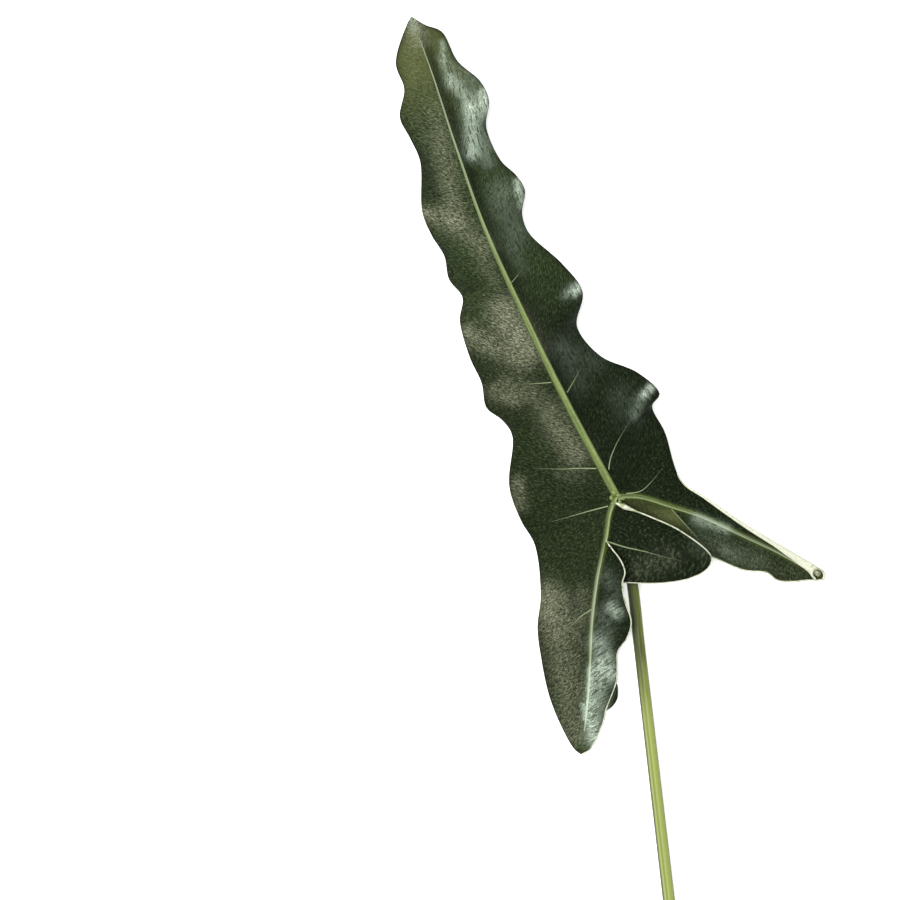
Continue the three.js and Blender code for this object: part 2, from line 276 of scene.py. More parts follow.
# Leaf skin: dark green above with a fine crosswise grain, light and shade painted in by region, and glossier
# waxy patches lightened as painted sheen and painted highlights; paler below
skin = {
    "deep": srgb(15, 26, 9),
    "deepLeftPaintedLight": srgb(31, 41, 19),
    "green": srgb(46, 58, 33),
    "fleck": srgb(84, 98, 68),
    "pit": srgb(10, 16, 6),
    "young": srgb(74, 86, 38),
    "paintedSheenWarm": srgb(134, 138, 112),
    "paintedHighlightCool": srgb(208, 226, 206),
    "tip": srgb(90, 96, 54),
    "patch": srgb(104, 110, 68),
    "below": srgb(92, 108, 56),
    "belowRim": srgb(226, 228, 208),
    "rim": srgb(30, 32, 24),
    "warmTint": (1.0, 0.95, 0.80, 1.0),
    "coolTint": (0.90, 1.0, 0.95, 1.0),
    "reliefDepth": 0.0005,
    # each grain's scale, detail, roughness and distortion, and how it is drawn out along and across
    "streaks": (1.4, 2.0, 0.6),
    "streaksDrawn": (1.0, 0.36, 1.0),
    "flecks": (0.8, 4.0, 0.75),
    "clouds": (40.0, 4.0, 0.65),
    "glints": (0.65, 3.0, 0.7, 0.4),
    "glintsDrawn": (0.24, 1.0, 1.0),
    "crackle": (0.8, 2.0, 0.6, 0.6),
    "crackleDrawn": (1.0, 0.4, 1.0),
    "crackBand": (0.0, 0.06),  # half-width of the lines along which a grain crosses its middle value
    "wrinkleBand": (0.02, 0.06),
    "pitBand": (0.36, 0.5),
    "fleckBand": (0.5, 0.6),
    "leftBand": (-1.0, 3.0),  # mm left of the ribs, over which the tone of the left half comes in
    "edgeBand": (-3.0, 5.0),  # mm from the margin, over which the skin clears from dark
    "rimBand": (0.2, 0.9),
    "ribBand": (1.8, 4.4),  # mm from a rib, streaks added, over which the young green fades
    "dullGloss": 0.06,
    # patches of glossier wax, also lightened in colour as painted sheen (warm) and painted highlights (cool),
    # seen from above in mm from the junction: strength, reach, start, end
    "warm": [
        (0.12, 9, (-126.6, 270.6), (-110.4, 219.6)),
        (0.95, 6, (-122.5, 286), (-119, 275)),
        (0.25, 5, (-109, 235), (-107, 224)),
        (0.50, 7, (-105.6, 213.6), (-96.6, 165.6)),
        (0.75, 5.5, (-114.6, 168.6), (-96.6, 164.4)),
        (0.52, 6.5, (-98, 163), (-80, 150)),
        (1.00, 9, (-69, 111), (-54.6, 87.6)),
        (0.70, 6.5, (-88.8, 97), (-60, 82)),
        (0.55, 5, (-72.6, 62.4), (-60.6, 57.6)),
        (0.65, 8, (-41, 50), (-24, 25)),
        (0.40, 6, (-66, 67), (-50, 61)),
        (0.55, 4, (-59, 8), (-57.5, -6)),
        (0.25, 5, (-80, 142), (-74, 130)),
        (0.15, 4, (-34, 13), (-22, 11)),
        (0.85, 8.5, (-41, -60), (-36, -84)),
        (0.55, 7.5, (-34, -98), (-25, -143)),
        (0.35, 6, (-32, -62), (-30, -78)),
        (0.30, 6, (-25, -76), (-23, -115)),
        (0.32, 5, (-20, -58), (-19, -74.4)),
        (0.18, 7, (14.4, -43), (31, -38)),
        (0.15, 8, (60, -32), (105, -48)),
    ],
    "cool": [
        (0.42, 3.4, (-103.5, 262), (-98.5, 249)),
        (0.55, 4, (-98.5, 249), (-89, 238)),
        (1.00, 4.6, (-86.8, 233), (-85.6, 206)),
        (0.50, 3, (-79.2, 240), (-81, 228)),
        (0.14, 8, (-69.6, 183.6), (-60.6, 156.6)),
        (0.80, 2.5, (-58.8, 187.8), (-56.4, 174.6)),
        (1.00, 2.6, (-22.4, 125.6), (-24.4, 122)),
        (0.30, 3, (-26, 124), (-30, 121)),
        (0.95, 2.3, (20.6, 65), (17, 60.8)),
        (0.18, 3.4, (14.5, 58), (11.5, 48)),
        (0.05, 8, (2, 60), (9, 48)),
        (0.70, 3.4, (-3, -66), (0.5, -70)),
        (0.60, 5, (-11, -88), (-6, -98)),
        (0.90, 4.2, (-8.5, -101), (-3, -106.5)),
        (0.60, 3.4, (-10, -101), (-8, -110)),
        (0.10, 5, (-6, -48), (0, -58)),
        (0.46, 5, (-9, -112), (-14, -146)),
        (0.06, 7, (50, -26), (84, -38)),
        (0.12, 3, (66, -32.5), (71, -36.5)),
        (1.00, 3.4, (-79, 241), (-78, 233)),
        (0.14, 6, (-92, 255), (-84, 246)),
        (0.22, 4, (-78, 215), (-77, 200)),
        (0.06, 7, (-30, 88), (-12, 80)),
        (0.40, 3, (-122.5, 288), (-121, 281)),
        (0.07, 5, (-62, 148), (-57, 138)),
        (0.06, 7, (-34, 90), (-22, 67)),
        (0.45, 3, (48, -13.5), (66, -20)),
        (0.45, 2, (-104, 272), (-103.5, 266)),
        (1.00, 2.6, (-16, -124), (-13, -147)),
        (1.00, 2.8, (-14, -104), (-15.6, -124)),
        (1.00, 2.4, (-18.4, -126), (-17.6, -134)),
        (0.12, 6, (-8, -72), (-6, -86)),
    ],
    # likewise the places painted dark as shade, in the folds and below the junction
    "shade": [
        (0.95, 6.5, (-116, 202), (-108, 181)),
        (0.40, 6, (-103, 146), (-89, 125)),
        (0.08, 7, (-80, 150), (-72, 124)),
        (0.45, 7, (-14, -4), (-2, -10)),
    ],
}


def patchMaskAt(points, patches):
    bare = np.ones(len(points))
    for strength, reach, start, end in patches:
        start, end = np.array(start, float), np.array(end, float)
        offset = points[:, :2] - start
        run = end - start
        share = np.clip(offset @ run / (run @ run), 0, 1)
        gap = np.linalg.norm(offset - share[:, None] * run, axis=1)
        bare *= 1 - strength * np.exp(-(gap / reach) ** 2)
    return 1 - bare


def makeSkin():
    material, sheet = newMaterial("leafSkin")
    weave = sheet.attribute("weave", "Vector")
    upper, edgeGap, ribGap, rolled, patch = map(
        sheet.attribute, ("upper", "edgeGap", "ribGap", "rolled", "patch"))
    warm, cool, outer, tipward, hollow = map(
        sheet.attribute, ("warm", "cool", "outer", "tipward", "hollow"))
    across = sheet.node("ShaderNodeSeparateXYZ", None, {"Vector": weave}, "Y")
    streaks = sheet.noise(sheet.drawnOut(weave, skin["streaksDrawn"]), *skin["streaks"])
    flecks = sheet.noise(weave, *skin["flecks"])
    clouds = sheet.noise(sheet.place(), *skin["clouds"])
    glints = sheet.noise(sheet.drawnOut(weave, skin["glintsDrawn"]), *skin["glints"])
    crackle = sheet.noise(sheet.drawnOut(weave, skin["crackleDrawn"]), *skin["crackle"])
    cracks = 1 - (crackle - 0.5).size().between(*skin["crackBand"])
    wrinkles = 1 - (glints - 0.5).size().between(*skin["wrinkleBand"])
    leftHalf = (across * -1).between(*skin["leftBand"])
    grain = streaks * 0.5 + flecks * 0.5
    # painted light: the left half is painted lighter than the right, for the side that faces the lamp
    tone = sheet.mixColour(skin["deep"], skin["deepLeftPaintedLight"], leftHalf)
    # painted shade round the junction: the skin grows paler away from it, broken by random clouds
    tone = sheet.mixColour(tone, skin["green"], (outer + (clouds - 0.5) * 0.9).between(0.15, 1.0))
    tone = sheet.mixColour(tone, skin["tip"], tipward * (0.55 + 0.35 * leftHalf))
    fleckShare = 0.34 + 0.2 * leftHalf + 0.3 * outer
    tone = sheet.mixColour(tone, skin["fleck"], grain.between(*skin["fleckBand"]) * fleckShare)
    pits = 1 - grain.between(*skin["pitBand"])
    tone = sheet.mixColour(tone, skin["pit"], pits * 0.8 * (1 - 0.5 * tipward) * (1 - 0.6 * cool))
    crackShare = (0.55 + 0.12 * leftHalf) * (1 - tipward) * (1 - cool)
    tone = sheet.mixColour(tone, skin["pit"], cracks * crackShare)
    # painted shade beside the midrib and in the folds
    tone = sheet.mixColour(tone, skin["pit"], hollow * 0.6)
    tone = sheet.mixColour(skin["pit"], tone, edgeGap.between(*skin["edgeBand"]) * 0.6 + 0.4)
    tone = sheet.mixColour(tone, skin["patch"], patch * (0.35 + 0.5 * flecks) + rolled * 0.6)
    tone = sheet.mixColour(tone, skin["belowRim"], rolled.between(0.5, 1.0) * (0.68 + 0.55 * outer))
    besideRib = (1 - (ribGap + 3.0 * streaks).between(*skin["ribBand"])) * (1 - outer)
    tone = sheet.mixColour(tone, skin["young"], besideRib)
    tone = sheet.mixColour(skin["rim"], tone, edgeGap.between(*skin["rimBand"]))
    below = sheet.mixColour(skin["below"], skin["young"], clouds.between(0.3, 0.75) * 0.5)
    below = sheet.mixColour(below, skin["belowRim"], rolled * (0.75 + 0.25 * flecks.between(0.3, 0.6)))
    tone = sheet.mixColour(below, tone, upper)
    height = grain - 0.3 * cracks + cool * (0.5 * glints + 0.4 * wrinkles - grain)
    bump = sheet.bump(height, skin["reliefDepth"])
    dull = sheet.surface(tone, 0.55 + (flecks - 0.5) * 0.3,
                         {"Normal": bump, "Specular IOR Level": skin["dullGloss"]})
    # painted sheen: the warm patches are lightened in colour as well as given a glossier wax
    warmPaintedSheenTone = sheet.mixColour(tone, skin["paintedSheenWarm"], 0.35 + 0.55 * grain.between(0.42, 0.58))
    warmWaxAndPaintedSheen = sheet.surface(warmPaintedSheenTone, 0.38 + (streaks - 0.5) * 0.2,
                            {"Normal": bump, "Specular Tint": skin["warmTint"]})
    # painted highlights: the cool patches are lightened towards near white, as well as given a glossier wax
    sheen = 0.3 + 0.28 * glints.between(0.4, 0.62) + 0.5 * wrinkles
    coolPaintedHighlightTone = sheet.mixColour(tone, skin["paintedHighlightCool"], sheen)
    coolWaxAndPaintedHighlight = sheet.surface(coolPaintedHighlightTone, 0.26 + (glints - 0.5) * 0.2,
                            {"Normal": bump, "Specular Tint": skin["coolTint"]})
    broken = (grain.between(0.36, 0.56) * 0.5 + 0.5) * (1 - 0.75 * cracks)
    glint = glints.between(0.36, 0.58) * 0.3 + 0.5 + 0.2 * wrinkles
    shader = sheet.node("ShaderNodeMixShader", None, {0: warm * upper * broken, 1: dull, 2: warmWaxAndPaintedSheen})
    shader = sheet.node("ShaderNodeMixShader", None, {0: cool * upper * glint, 1: shader, 2: coolWaxAndPaintedHighlight})
    endMaterial(sheet, shader)
    return material


# Blade: rows of points from the ribs to the margins, with the same rule as the solid
blade = {
    "thickness": 0.8,
    "droop": 1.5,
    "frontFoldDroop": 1.0,
    "sinusDroop": 0.8,
    "rollRadius": [(0, 0), (0.3, 0.5), (0.5, 0.65), (0.72, 1.05), (0.9, 2.3), (1, 3.2)],
    "rollSlant": 0.9,  # how far the roll's open end leans back, so that its ring shows from above
    "rollTurn": math.radians(270),
    "flapEnd": 0.175,  # shares of the left rib, where the flap ends and the front fold begins
    "frontFoldStart": 0.178,
    "flapStart": 0.175 * 2 / 15,  # share of the left rib, where the flap begins
    "rightInnerStart": 1 / 132,  # share of the right rib, where its inner side begins
    "slack": 1e-6,
    "midribRows": 300,
    "flapRows": 56,
    "frontFoldRows": 110,
    "rightRows": 132,
    "columns": 34,
    "leftSag": 1.2,  # mm, how far a half-blade hangs below its straight run from rib to margin
    "rightSag": 2.4,
    "rollDone": 0.45,  # share of the right rib where the margin has rolled up in full
    "easeRounds": 300,  # smoothing of the folds that run from the junction to the margins
    "easeReach": 20.0,
    "easeStep": 0.8,
    "easeFromRib": 6.0,
    "fullSagSpan": 40.0,  # mm from rib to margin, from which the sag is whole
    "fullRoll": 1.5,  # radians of the roll's turn, from which the skin counts as rolled
    "rollSlantFrom": 0.9,  # share of the right rib
    "farGap": 30.0,  # mm, past every tone that lies beside a rib or a margin
    # mm along to each mm across, by which the grain slants
    "skews": {"leftBlade": -0.6, "leftLobe": 0.4, "rightBlade": -0.9, "frontFold": -0.8},
    "patchLine": ((33, -7.8), (58.2, -34.2)),  # plan of the crease that bounds the olive patch
    "patchBand": (-0.6, 1.0),  # mm right of the crease, over which the patch comes in
    "patchGlow": (33, -12),  # plan of its lightest place, a painted sheen
    "patchReach": (11, 6),
    "patchLeast": 0.3,
    "crescent": {
        "ends": ((0.3, -112), (-6, -129)),
        "endShift": (0.05, -0.05, -0.1),
        "along": -140.0,  # mm, its place in the grain
        "bulge": [(0.5, -112, 6.8), (1.2, -117, 4.5), (0.6, -122.5, 3), (-2.6, -127, 2), (-6, -129.2, 2.5)],
    },
    "paintedShadeGap": 2.5,  # mm right of the midrib, where the painted shade beside it is darkest
    "paintedShadeReach": 4.0,
    "paintedShadeFrom": (5, 40),  # mm along the midrib
    "outerFrom": (50, 190),  # mm from the junction, over which the green grows paler; the darker skin nearer the junction is painted shade
    "tipFrom": (235, 300),  # mm along the midrib, over which the tip's own tone comes in
}


class BladeLayer:
    lists = ("points", "weave", "along", "ribGap", "edgeGap", "rolled", "triangles")

    def __init__(self):
        for name in self.lists:
            setattr(self, name, [])
        self.count = 0

    def add(self, points, along, across, edgeGap, rolled=0.0, skew=0.0, turned=False):
        points = np.array(points, float)
        points[:, 2] = np.maximum(points[:, 2], blade["thickness"] / 2)
        self.points.append(points)
        self.along.append(along)
        slanted = along + skew * np.abs(across)
        weave = [across, -slanted] if turned else [slanted, across]
        self.weave.append(np.stack([*weave, np.zeros(len(points))], 1))
        self.ribGap.append(np.abs(across))
        self.edgeGap.append(edgeGap)
        self.rolled.append(np.zeros(len(points)) + rolled)
        first = self.count
        self.count += len(points)
        return np.arange(first, self.count)

    def addRib(self, ribLine, shares, sign):
        far = np.full(len(shares), blade["farGap"])
        along = sign * shares * ribLine.length
        return self.add(ribLine.at(shares), along, np.zeros(len(shares)), far)

    # a strip of rows from rib points to margin points; the side is -1 left and 1 right of the midrib
    def addStrip(self, rib, ribPoints, margin, along, side, leftHand, bend, sag=0.0, roll=None, tip=None,
                 first=None, skew=0.0, turned=False):
        columns = blade["columns"]
        u = np.linspace(0, 1, columns + 1)[1:]
        radius = roll["radius"] if roll else np.zeros(len(rib))
        turn = roll["turn"] if roll else np.zeros(len(rib))
        foot = margin - radius[:, None] * roll["outward"] if roll else margin
        straight = np.hypot(*(foot - ribPoints)[:, :2].T)
        length = straight + radius * turn
        rows = []
        for k, index in enumerate(rib):
            if tip is not None and index == tip:
                rows.append(np.full(columns + 1, tip))
                continue
            if k == 0 and first is not None:
                rows.append(first)
                continue
            distance = u * length[k]
            share = np.minimum(distance / straight[k], 1)
            row = ribPoints[k] + (foot[k] - ribPoints[k]) * share[:, None]
            row[:, 2] = ribPoints[k, 2] + (foot[k, 2] - ribPoints[k, 2]) * share ** bend
            row[:, 2] -= sag * min(straight[k] / blade["fullSagSpan"], 1) * 4 * share * (1 - share)
            angle = np.zeros((columns, 1))
            if roll and radius[k] > 0:
                angle = np.maximum(distance - straight[k], 0)[:, None] / radius[k]
                row += roll["outward"][k] * radius[k] * np.sin(angle)
                rise = radius[k] * (1 - np.cos(angle))
                row += roll["upward"][k] * rise - roll["along"][k] * roll["slant"][k] * rise
            added = self.add(row, np.full(columns, along[k]), side * distance, length[k] - distance,
                             np.minimum(angle[:, 0], blade["fullRoll"]) / blade["fullRoll"], skew, turned)
            rows.append(np.concatenate([[index], added]))
        grid = np.array(rows)
        a, b = grid[:-1, :-1].ravel(), grid[1:, :-1].ravel()
        c, d = grid[1:, 1:].ravel(), grid[:-1, 1:].ravel()
        quads = np.concatenate([np.stack([a, b, c], 1), np.stack([a, c, d], 1)])
        if not leftHand:
            quads = quads[:, [0, 2, 1]]
        whole = (quads[:, 0] != quads[:, 1]) & (quads[:, 1] != quads[:, 2]) & (quads[:, 2] != quads[:, 0])
        self.triangles.append(quads[whole])
        return grid

    def close(self):
        for name in self.lists:
            setattr(self, name, np.concatenate(getattr(self, name)))
        self.ease()
        corners = self.points[self.triangles]
        faceNormals = np.cross(corners[:, 1] - corners[:, 0], corners[:, 2] - corners[:, 0])
        normals = np.zeros_like(self.points)
        for corner in range(3):
            np.add.at(normals, self.triangles[:, corner], faceNormals)
        self.normals = unit(normals)

    # rounds off the folds at the rows that two strips share, and leaves ribs, margins and the roll alone
    def ease(self):
        edges = edgesOf(self.triangles)
        degree = np.bincount(edges.ravel(), minlength=self.count)
        weight = np.exp(-(self.along / blade["easeReach"]) ** 2)
        weight *= smoothstep(self.ribGap, 0, blade["easeFromRib"])
        weight *= smoothstep(self.edgeGap, 0, 1) * (self.rolled == 0)
        for _ in range(blade["easeRounds"]):
            height = self.points[:, 2]
            total = np.bincount(edges[:, 0], height[edges[:, 1]], self.count)
            total += np.bincount(edges[:, 1], height[edges[:, 0]], self.count)
            self.points[:, 2] = height + blade["easeStep"] * weight * (total / degree - height)


# The roll of the right lobe's outer margin widens and closes towards the lobe's tip
def rollAlong(shares):
    along = line["rightRib"].directionAt(shares)
    outward = unit(np.stack([-along[:, 1], along[:, 0], np.zeros(len(shares))], 1))
    return {
        "radius": np.interp(shares, *np.array(blade["rollRadius"]).T),
        "along": along,
        "slant": blade["rollSlant"] * smoothstep(shares, blade["rollSlantFrom"], 1.0),
        "turn": blade["rollTurn"] * smoothstep(shares, 0, blade["rollDone"]),
        "outward": outward,
        "upward": np.cross(along, outward),
    }


def buildLayer():
    layer = BladeLayer()
    columns = blade["columns"]
    midShares = np.linspace(0, 1, blade["midribRows"] + 1)
    flapShares = np.linspace(0, blade["flapEnd"], blade["flapRows"] + 1)
    foldShares = np.linspace(blade["frontFoldStart"], 1, blade["frontFoldRows"] + 1)
    leftShares = np.concatenate([flapShares, foldShares])
    rightShares = np.linspace(0, 1, blade["rightRows"] + 1)
    mid = layer.addRib(line["midrib"], midShares, 1)
    left = np.concatenate([mid[:1], layer.addRib(line["leftRib"], leftShares[1:], -1)])
    right = np.concatenate([mid[:1], layer.addRib(line["rightRib"], rightShares[1:], -1)])
    midPoints = line["midrib"].at(midShares)
    leftPoints = line["leftRib"].at(leftShares)
    rightPoints = line["rightRib"].at(rightShares)
    midAlong = midShares * line["midrib"].length
    leftAlong = -leftShares * line["leftRib"].length
    rightAlong = -rightShares * line["rightRib"].length
    droop = blade["droop"]
    skews = blade["skews"]
    margins = {}

    outer = line["leftMargin"]
    turn = outer.shareOf(marginTurn)
    leftBlade = layer.addStrip(mid, midPoints, outer.at(turn * (1 - midShares)), midAlong, -1, True, droop,
                               blade["leftSag"], tip=mid[-1], skew=skews["leftBlade"])
    leftLobe = layer.addStrip(left, leftPoints, outer.at(turn + (1 - turn) * leftShares), leftAlong, -1,
                              False, droop, tip=left[-1], first=leftBlade[0], skew=skews["leftLobe"])
    margins["leftMargin"] = np.concatenate([leftBlade[::-1, columns], leftLobe[1:, columns]])

    outer = line["rightMargin"]
    turn = outer.shareOf(marginTurn)
    rightBlade = layer.addStrip(mid, midPoints, outer.at(turn * (1 - midShares)), midAlong, 1, False, droop,
                                blade["rightSag"], tip=mid[-1], skew=skews["rightBlade"])
    rolled = layer.addStrip(right, rightPoints, outer.at(turn + (1 - turn) * rightShares), rightAlong, 1,
                            True, droop, roll=rollAlong(rightShares), first=rightBlade[0])
    margins["rightMargin"] = np.concatenate([rightBlade[::-1, columns], rolled[1:, columns]])
    margins["rollEnd"] = rolled[-1]

    inFlap = flapShares >= blade["flapStart"] - blade["slack"]
    share = (flapShares[inFlap] - blade["flapStart"]) / (blade["flapEnd"] - blade["flapStart"])
    rows = np.flatnonzero(inFlap)
    flap = layer.addStrip(left[rows], leftPoints[rows], line["flap"].at(share), leftAlong[rows], 1, True,
                          droop)
    margins["flap"] = np.concatenate([flap[0], flap[1:, columns]])

    rows = np.arange(len(flapShares), len(leftShares))
    share = (leftShares[rows] - blade["frontFoldStart"]) / (1 - blade["frontFoldStart"])
    fold = layer.addStrip(left[rows], leftPoints[rows], line["frontFold"].at(share), leftAlong[rows], 1, True,
                          blade["frontFoldDroop"], tip=left[-1], skew=skews["frontFold"], turned=True)
    margins["frontFold"] = fold[:, columns]

    # a scrap of margin that turns under the front fold shows past it as a crescent
    crescent = blade["crescent"]
    away = np.linalg.norm(line["frontFold"].at(share)[:, None, :2] - np.array(crescent["ends"]), axis=2)
    rows = np.arange(away[:, 0].argmin(), away[:, 1].argmin() + 1)
    bulge = LeafLine(crescent["bulge"]).at(np.linspace(0, 1, len(rows)))
    foot = line["frontFold"].at(share[rows])
    bulge[[0, -1]] = foot[[0, -1]] + crescent["endShift"]
    scrap = layer.addStrip(fold[rows, columns], foot, bulge, np.full(len(rows), crescent["along"]), 1,
                           True, 1.0)

    rows = np.flatnonzero(rightShares >= blade["rightInnerStart"] - blade["slack"])
    share = (rightShares[rows] - rightShares[rows[0]]) / (1 - rightShares[rows[0]])
    inner = layer.addStrip(right[rows], rightPoints[rows], line["rightInner"].at(share), rightAlong[rows], -1,
                           False, blade["sinusDroop"], tip=right[-1])
    margins["rightInner"] = np.concatenate([inner[0], inner[1:, columns]])
    layer.close()
    layer.edgeGap[scrap[:, 1:]] = blade["farGap"]
    layer.ribGap[scrap[:, 1:]] = blade["farGap"]
    start, end = np.array(blade["patchLine"], float)
    ahead = (end - start) / np.linalg.norm(end - start)
    offset = layer.points[:, :2] - start
    beside = ahead[1] * offset[:, 0] - ahead[0] * offset[:, 1]  # mm right of the crease, seen along it
    # the patch grows lighter towards one place, as a painted sheen
    fromSheenCentre = np.linalg.norm((layer.points[:, :2] - blade["patchGlow"]) / blade["patchReach"], axis=1)
    patchPaintedSheen = blade["patchLeast"] + (1 - blade["patchLeast"]) * np.exp(-fromSheenCentre ** 2)
    layer.patch = np.zeros(layer.count)
    layer.patch[inner] = (smoothstep(beside, *blade["patchBand"]) * patchPaintedSheen)[inner]
    return layer, margins


# Both faces of the layer and the walls between them, as one closed skin
def thickenLayer(layer):
    count = len(layer.points)
    half = blade["thickness"] / 2
    points = np.vstack([layer.points + half * layer.normals, layer.points - half * layer.normals])
    points[:, 2] = np.maximum(points[:, 2], 0.0)
    top = layer.triangles
    edges = edgesOf(top)
    keys = edges[:, 0].astype(np.int64) * count + edges[:, 1]
    free = edges[~np.isin(keys, edges[:, 1].astype(np.int64) * count + edges[:, 0])]
    a, b = free.T
    walls = np.vstack([np.stack([b, a, a + count], 1), np.stack([b, a + count, b + count], 1)])
    faces = np.vstack([top, top[:, [0, 2, 1]] + count, walls])
    return points, faces.tolist()


layer, margins = buildLayer()
skinPoints, skinFaces = thickenLayer(layer)
skinMaterial = makeSkin()
bladePiece = newPiece("bladeSkin", skinPoints, skinFaces, skinMaterial)
fromJunction = np.hypot(layer.points[:, 0], layer.points[:, 1])
# a painted shadow along the right side of the midrib
shadeBesideMidrib = np.exp(-((layer.ribGap - blade["paintedShadeGap"]) / blade["paintedShadeReach"]) ** 2)
shadeBesideMidrib *= smoothstep(layer.along, *blade["paintedShadeFrom"]) * (layer.weave[:, 1] > 0)
bladeTraits = {
    "weave": layer.weave,
    "ribGap": layer.ribGap,
    "edgeGap": layer.edgeGap,
    "rolled": layer.rolled,
    "patch": layer.patch,
    "warm": patchMaskAt(layer.points, skin["warm"]),
    "cool": patchMaskAt(layer.points, skin["cool"]),
    "outer": smoothstep(fromJunction, *blade["outerFrom"]),
    "tipward": smoothstep(layer.along, *blade["tipFrom"]),
    "hollow": np.maximum(shadeBesideMidrib, patchMaskAt(layer.points, skin["shade"])),
}
for name, values in bladeTraits.items():
    setAttribute(bladePiece, name, np.concatenate([values, values]))
setAttribute(bladePiece, "upper", np.repeat([1.0, 0.0], len(layer.points)))
dress(bladePiece, "blade", "blade")


# Stalk: the petiole, the three ribs that it runs on into and the knuckle where they part
stalk = {
    "pale": srgb(110, 128, 58),
    "shade": srgb(62, 80, 30),
    "line": srgb(158, 168, 120),
    "grey": srgb(148, 158, 134),
    "flank": srgb(38, 50, 24),
    "shadedDeepGreen": srgb(53, 61, 23),
    "shadedDeepLine": srgb(104, 116, 48),
    "cutFace": srgb(190, 200, 140),
    # across the petiole in plan, from its left side over the top to its right side: stripes, with the left
    # edge painted dark as shade and a painted highlight line beside it
    "stripesAndPaintedLight": [(0.0, srgb(58, 64, 34)), (0.19, srgb(68, 75, 38)), (0.26, srgb(146, 155, 96)),
                (0.33, srgb(152, 162, 92)), (0.38, srgb(112, 122, 52)), (0.50, srgb(144, 155, 78)),
                (0.75, srgb(148, 161, 86)), (0.95, srgb(120, 128, 80))],
    # grains as on the skin
    "streaks": (1.6, 4.0, 0.6),
    "streaksDrawn": (0.03, 1.0, 1.0),
    "freckles": (0.8, 4.0, 0.7),
    "reliefDepth": 0.0002,
    "reliefStrength": 0.5,
    "gloss": 0.3,
    "paleningFrom": 60.0,  # mm below the junction, where the petiole's dark upper part begins to pale; that part is partly its own deeper green and partly painted shadow of the lobe above
    "paleningTo": 170.0,
    "petioleTop": 6.6,
    "petioleCut": 7.4,
    "petioleRise": 0.97,  # of its radius, from its path on the floor to its middle
    "channel": 0.07,  # depth of the channel on top, as a share of the radius
    "channelReach": 0.3,  # radians
    "ridges": 11,  # fine ridges round the petiole
    "ridgeHeight": 0.02,
    "petioleSections": 150,
    "petioleSides": 56,
    "ribSides": 24,
    "ribDepth": 0.6,
    "ridge": 0.16,
    "leastRidge": 0.32,
    "overlap": 0.02,  # mm by which a rib stands proud of both faces at its end
    "squareness": 0.7,
    "groove": 0.3,
    "grooveReach": 0.14,
    "lineReach": 0.16,
    "flankReach": 0.2,
    "lineSettled": 0.3,  # share of a rib, from which its pale line has its second strength
    "ribFadeFrom": 0.9,  # share of a rib, from which it sinks into the blade
    "grainTurn": 1.5,  # how far the grain runs on round a rib or a lump to each radian
    "petioleGrainTurn": 3.5,
    "lumpRings": 10,
    "lumpSides": 16,
    "lumpPole": 0.12,
    "lumpLine": 0.45,
    # lumps of the knuckle: place and half-sizes in mm
    "lumps": [((-1.2, 2.2, 22.7), (1.9, 1.5, 1.1)), ((-3.0, -1.0, 22.2), (1.3, 1.6, 1.1)),
              ((1.4, 0.4, 22.6), (1.7, 1.2, 1.2)), ((3.6, -1.6, 22.4), (1.8, 0.9, 1.0)),
              ((2.0, -3.4, 22.6), (1.3, 0.9, 1.2)), ((4.2, -5.0, 23.2), (1.4, 0.8, 0.9)),
              ((-1.8, -4.6, 22.1), (1.5, 1.2, 1.1))],
}
# Ribs: widths are in mm by share of length. line and the entry after it say where the pale line and a side
# painted dark as shade lie, in half turns over the top from the right-hand side, looking out along the rib.
# pale is the line's strength at the junction and beyond, and grey the stretch of the length over which the
# rib turns grey
ribs = {
    "midrib": {
        "sections": 220, "end": 0.985, "line": 0.30, "flank": 0.92, "pale": (0.35, 0.5), "grey": (0.4, 1),
        "widths": [(0, 5.0), (0.35, 3.6), (0.5, 2.8), (0.65, 1.75), (0.83, 1.05), (1, 0.5)]},
    "leftRib": {
        "sections": 120, "end": 0.95, "line": 0.68, "flank": 0.22, "pale": (0.9, 1), "grey": (0.1, 0.35),
        "widths": [(0, 3.0), (0.3, 2.6), (0.7, 1.7), (1, 0.8)]},
    "rightRib": {
        "sections": 110, "end": 0.90, "line": 0.24, "flank": 0.60, "pale": (0.7, 1), "grey": (0.25, 0.4),
        "widths": [(0, 2.8), (0.35, 2.0), (0.7, 1.5), (1, 0.9)]},
}


